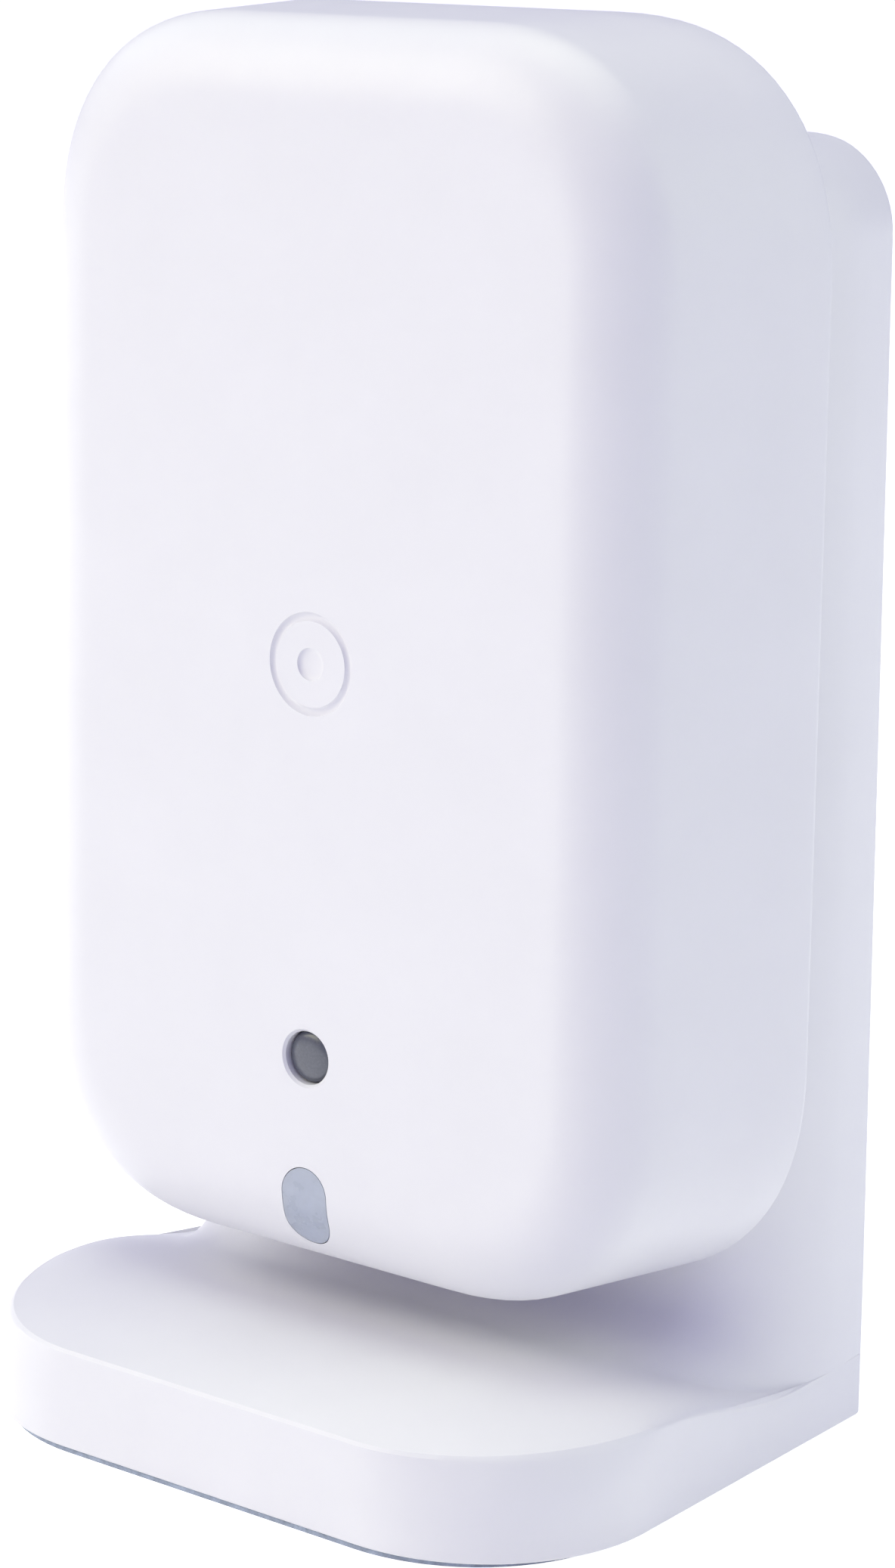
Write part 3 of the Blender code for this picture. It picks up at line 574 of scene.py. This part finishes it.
def crown_sections(steps=24):
    """The base's gently domed top, whose front edge runs back to the foot of the plate."""
    corner = STAND_PLAN_R + SOFT_X
    sections = []
    for i in range(steps + 1):
        f = (i + CROWN_START) / (steps + CROWN_START)
        z = BASE_EDGE_Z + (BASE_TOP_Z - BASE_EDGE_Z) * (1 - (1 - f) ** 2)
        front = STAND_FRONT_Y + (CURVE_Y - STAND_FRONT_Y) * f
        side = SIDE_START_Y + (SIDE_END_Y - SIDE_START_Y) * f ** SIDE_POWER
        sections.append((z, STAND_HALF_W, front, STAND_BACK_Y, corner + (PLATE_EDGE_X - corner) * f,
                         side - front))
    return sections


def curve_sections(steps=20):
    """The inside curve from the base up into the plate."""
    sections = []
    for t in quarter(steps)[1:]:
        front = CURVE_Y + INNER_CURVE_R * math.sin(t)
        sections.append((BASE_TOP_Z + INNER_CURVE_R * (1 - math.cos(t)), STAND_HALF_W, front, STAND_BACK_Y,
                         PLATE_EDGE_X, SIDE_END_Y - front))
    return sections


def shoulder_sections(steps=16):
    """The plate's rounded top corners. The straight part of the plate ends at the first of these."""
    sections = []
    for t in quarter(steps):
        lift = PLATE_CORNER_R * math.sin(t)
        front = PLATE_FRONT_Y + TOP_FRONT_R * (1 - math.cos(t))
        rise = max(0.0, lift - PLATE_CORNER_R + REAR_EDGE_R)
        back = STAND_BACK_Y - REAR_EDGE_R + math.sqrt(max(0.0, REAR_EDGE_R ** 2 - rise ** 2))
        sections.append((STAND_TOP_Z - PLATE_CORNER_R + lift,
                         STAND_HALF_W - PLATE_TAPER - PLATE_CORNER_R * (1 - math.cos(t)), front, back,
                         PLATE_EDGE_X, SIDE_END_Y - front))
    return sections


def smooth_step(value):
    t = min(1.0, max(0.0, value))
    return t * t * (3 - 2 * t)


def sag_foot(bm):
    """Let the base's side edges sink towards the foot of the plate."""
    for v in bm.verts:
        across = smooth_step((abs(v.co.x) - SAG_START_X) / (STAND_HALF_W - SAG_START_X))
        back = smooth_step((v.co.y - SAG_START_Y) / (SAG_END_Y - SAG_START_Y))
        low = smooth_step((v.co.z - SAG_LOW_Z) / (BASE_EDGE_Z - SAG_LOW_Z))
        high = 1 - smooth_step((v.co.z - BASE_TOP_Z) / (SAG_HIGH_Z - BASE_TOP_Z))
        v.co.z -= SAG * across * back * low * high


def add_stand_body(bm):
    sections = base_sections() + crown_sections() + curve_sections() + shoulder_sections()
    add_loft(bm, [along_z(plan_outline(*plan, 28, REAR_EDGE_R, REAR_TAPER), z) for z, *plan in sections])
    sag_foot(bm)


def add_plate_cavity(bm):
    """Space behind the plate, open to the back."""
    half_w = STAND_HALF_W - PLATE_TAPER - STAND_WALL
    top_z = STAND_TOP_Z - STAND_WALL
    ends = [(CAVITY_R * (1 - math.cos(t)), CAVITY_R * (1 - math.sin(t))) for t in quarter(7)]
    levels = [(CAVITY_LOW_Z + rise, inset) for rise, inset in ends]
    levels += [(top_z - rise, inset) for rise, inset in reversed(ends)]
    add_loft(bm, [along_z(plan_outline(half_w - inset, PLATE_FRONT_Y + STAND_WALL, STAND_BACK_Y + PAST,
                                       PLATE_EDGE_X - STAND_WALL, PLATE_EDGE_Y - STAND_WALL), z)
                  for z, inset in levels])


def add_base_cavity(bm):
    """Space under the base, open below."""
    corner = STAND_PLAN_R - STAND_WALL
    under = plan_outline(STAND_HALF_W - PLATE_TAPER - STAND_WALL, STAND_FRONT_Y + STAND_WALL,
                         STAND_BACK_Y - STAND_WALL, corner, corner)
    add_loft(bm, [along_z(under, -PAST), along_z(under, BASE_EDGE_Z - BASE_ROOF)])


def build_stand_shell():
    bm = bmesh.new()
    add_stand_body(bm)
    shell = write("stand_body", bm, stand_look)
    hollows = bmesh.new()
    add_plate_cavity(hollows)
    add_base_cavity(hollows)
    apply_cut(shell, hollows)

    window_centre = (0, (WINDOW_Z[0] + WINDOW_Z[1]) / 2)
    window_half_h = (WINDOW_Z[1] - WINDOW_Z[0]) / 2
    solids = bmesh.new()
    add_slab_y(solids, window_centre, WINDOW_HALF_W + WINDOW_RIM, window_half_h + WINDOW_RIM,
               WINDOW_CORNER + WINDOW_RIM, PLATE_FRONT_Y + STAND_WALL - WINDOW_RIM_BITE,
               STAND_BACK_Y - WINDOW_RIM_BACK)
    for side in (-1, 1):
        add_turned_y(solids, (side * PIP_X, PIP_Z), [(PLATE_FRONT_Y + y, r) for y, r in PIP_PROFILE], 40)
    apply_cut(shell, solids, 'UNION')
    window = bmesh.new()
    add_slab_y(window, window_centre, WINDOW_HALF_W, window_half_h, WINDOW_CORNER,
               PLATE_FRONT_Y - WINDOW_PAST, STAND_BACK_Y + WINDOW_PAST)
    apply_cut(shell, window)
    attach(shell, "stand")
    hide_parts("stand_shell")


def build_pad():
    rings = []
    for z, inset in PAD_LEVELS:
        corner = STAND_PLAN_R - PAD_CORNER_MARGIN - inset
        outline = plan_outline(STAND_HALF_W - PAD_MARGIN - inset, STAND_FRONT_Y + PAD_FRONT_MARGIN + inset,
                               STAND_BACK_Y - PAD_MARGIN - inset, corner, corner)
        rings.append(along_z(outline, z))
    bm = bmesh.new()
    add_loft(bm, rings)
    # The pad is a real part, but its dark blue-grey colour, seen under the base's front and corners, is
    # painted contact shadow.
    pad = write("foot_pad", bm, soft_rubber("pad_rubber_painted_contact_shadow", (0.34, 0.39, 0.48)))
    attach(pad, "stand")
    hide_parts("base_pad")


build_front_shell()
build_window()
build_guide()
build_stand_shell()
build_pad()

# ================= CAD nodes that stay: better materials =================
cover_look = moulded_plastic("cover_plastic", (0.82, 0.82, 0.85), 0.5)
zinc = metal("screw_zinc_plate", (0.62, 0.63, 0.66), 0.32, (1, 0.2, 1))
chip = moulded_plastic("chip_epoxy", (0.035, 0.035, 0.04), 0.5, 0.1, 0.2)
LOOKS = {
    "rear_cover": cover_look,
    "stand_back_cover": cover_look,
    "light_divider": soft_rubber("divider_rubber", (0.03, 0.03, 0.03)),
    "main_board": circuit_board("board_mask", (0.02, 0.13, 0.07)),
    "light_sensor_chip": moulded_plastic("sensor_epoxy", (0.35, 0.33, 0.28), 0.25),
    "status_led": moulded_plastic("led_epoxy", (0.85, 0.82, 0.65), 0.3),
    "radio_module": circuit_board("module_mask", (0.03, 0.05, 0.14)),
    "radio_shield": metal("shield_tin", (0.66, 0.66, 0.64), 0.35, (1, 1, 0.1)),
    "climate_sensor": chip,
    "power_regulator": chip,
    "usb_socket": metal("socket_plate", (0.66, 0.66, 0.67), 0.28, (1, 0.1, 1)),
    "switch_body": moulded_plastic("switch_nylon", (0.07, 0.07, 0.08), 0.4),
    "switch_plunger": moulded_plastic("plunger_nylon", (0.05, 0.05, 0.05), 0.4),
    "reset_button": moulded_plastic("button_plastic", (0.5, 0.51, 0.54), 0.42),
    "mount_steel_plate": metal("steel_zinc", (0.58, 0.59, 0.62), 0.4, (0.1, 1, 1)),
    "magnet_1": metal("magnet_nickel_a", (0.72, 0.71, 0.68), 0.2),
    "magnet_2": metal("magnet_nickel_b", (0.72, 0.71, 0.68), 0.2),
    "base_cover": moulded_plastic("base_cover_plastic", (0.28, 0.29, 0.31), 0.55),
    "ballast_plate": metal("ballast_rolled", (0.42, 0.42, 0.43), 0.45, (0.1, 1, 1)),
}
for node_name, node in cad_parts.items():
    look = LOOKS.get(node_name, zinc if "_screw_" in node_name else None)
    if look is None:
        continue
    node.data.materials.clear()
    node.data.materials.append(look)

# ================= stage, light, camera =================
PAPER_R = 20000.0


def floor_material(name, emission):
    """White paper, very slightly clouded, that can glow."""
    mat, tree, shader = new_material(name, (0.93, 0.93, 0.94), 0.75)
    vec = coordinates(tree)
    cloud = noise(tree, vec, 0.02, 3.0)
    tree.links.new(ramp(tree, cloud, [(0.3, (0.925, 0.925, 0.935)), (0.7, (0.935, 0.935, 0.945))]),
                   shader.inputs["Base Color"])
    shader.inputs["Emission Color"].default_value = (1, 1, 1, 1)
    shader.inputs["Emission Strength"].default_value = emission
    return mat


def floor_disc(name, z, emission):
    disc = bmesh.new()
    bmesh.ops.create_circle(disc, cap_ends=True, segments=96, radius=PAPER_R)
    bmesh.ops.translate(disc, verts=disc.verts, vec=(0, 0, z))
    floor = write(name, disc, floor_material(name + "_paper", emission))
    return floor


# The glowing paper neither lights the object nor shades the paper below it, which bounces the light.
paper = floor_disc("floor", -0.01, 0.97)
paper.visible_diffuse = False
paper.visible_shadow = False
floor_disc("floor_bounce", -0.05, 0.0).visible_camera = False

world = bpy.data.worlds.new("studio")
world.use_nodes = True
background = world.node_tree.nodes["Background"]
background.inputs["Color"].default_value = (0.25, 0.18, 1.0, 1)
background.inputs["Strength"].default_value = 0.34
bpy.context.scene.world = world


LIGHT_TARGET = Vector((0, 0, 0.045))
LIGHT_DISTANCE = 0.9


def direction(azimuth, elevation):
    """Unit vector away from the object, in degrees. Azimuth 0 is in front and 90 on the right."""
    a, e = math.radians(azimuth), math.radians(elevation)
    return Vector((math.sin(a) * math.cos(e), -math.cos(a) * math.cos(e), math.sin(e)))


def softbox(name, azimuth, elevation, size, power, colour):
    """Rectangular light aimed at about the object's middle."""
    data = bpy.data.lights.new(name, 'AREA')
    data.shape = 'RECTANGLE'
    data.size = size[0]
    data.size_y = size[1]
    data.energy = power
    data.color = colour
    lamp = bpy.data.objects.new(name, data)
    bpy.context.collection.objects.link(lamp)
    away = direction(azimuth, elevation)
    lamp.location = LIGHT_TARGET + away * LIGHT_DISTANCE
    lamp.rotation_mode = 'QUATERNION'
    lamp.rotation_quaternion = (-away).to_track_quat('-Z', 'Y')


softbox("front", -35, 30, (0.6, 0.6), 4.95, (1.0, 0.99, 0.72))
softbox("side", 110, 20, (0.5, 0.6), 2.7, (0.92, 1.0, 0.68))
softbox("top", 0, 88, (0.8, 0.8), 4.85, (0.95, 1.0, 0.72))
softbox("left", -90, 40, (0.6, 0.6), 0.89, (0.81, 1.0, 0.944))

camera_data = bpy.data.cameras.new("camera")
camera = bpy.data.objects.new("camera", camera_data)
bpy.context.collection.objects.link(camera)
camera_data.lens = CAM_LENS
camera_data.shift_x, camera_data.shift_y = CAM_SHIFT
camera_data.clip_start = 0.01
camera_data.clip_end = 100
az, roll = math.radians(CAM_AZ), math.radians(CAM_ROLL)
back = direction(CAM_AZ, CAM_EL)
right0 = Vector((math.cos(az), math.sin(az), 0))
up0 = back.cross(right0)
right = right0 * math.cos(roll) + up0 * math.sin(roll)
up = up0 * math.cos(roll) - right0 * math.sin(roll)
place = (Vector(CAM_TARGET) + back * CAM_DIST) * MM
camera.matrix_world = Matrix((
    (right.x, up.x, back.x, place.x),
    (right.y, up.y, back.y, place.y),
    (right.z, up.z, back.z, place.z),
    (0, 0, 0, 1)))
bpy.context.scene.camera = camera
bpy.context.scene.view_settings.view_transform = 'Standard'
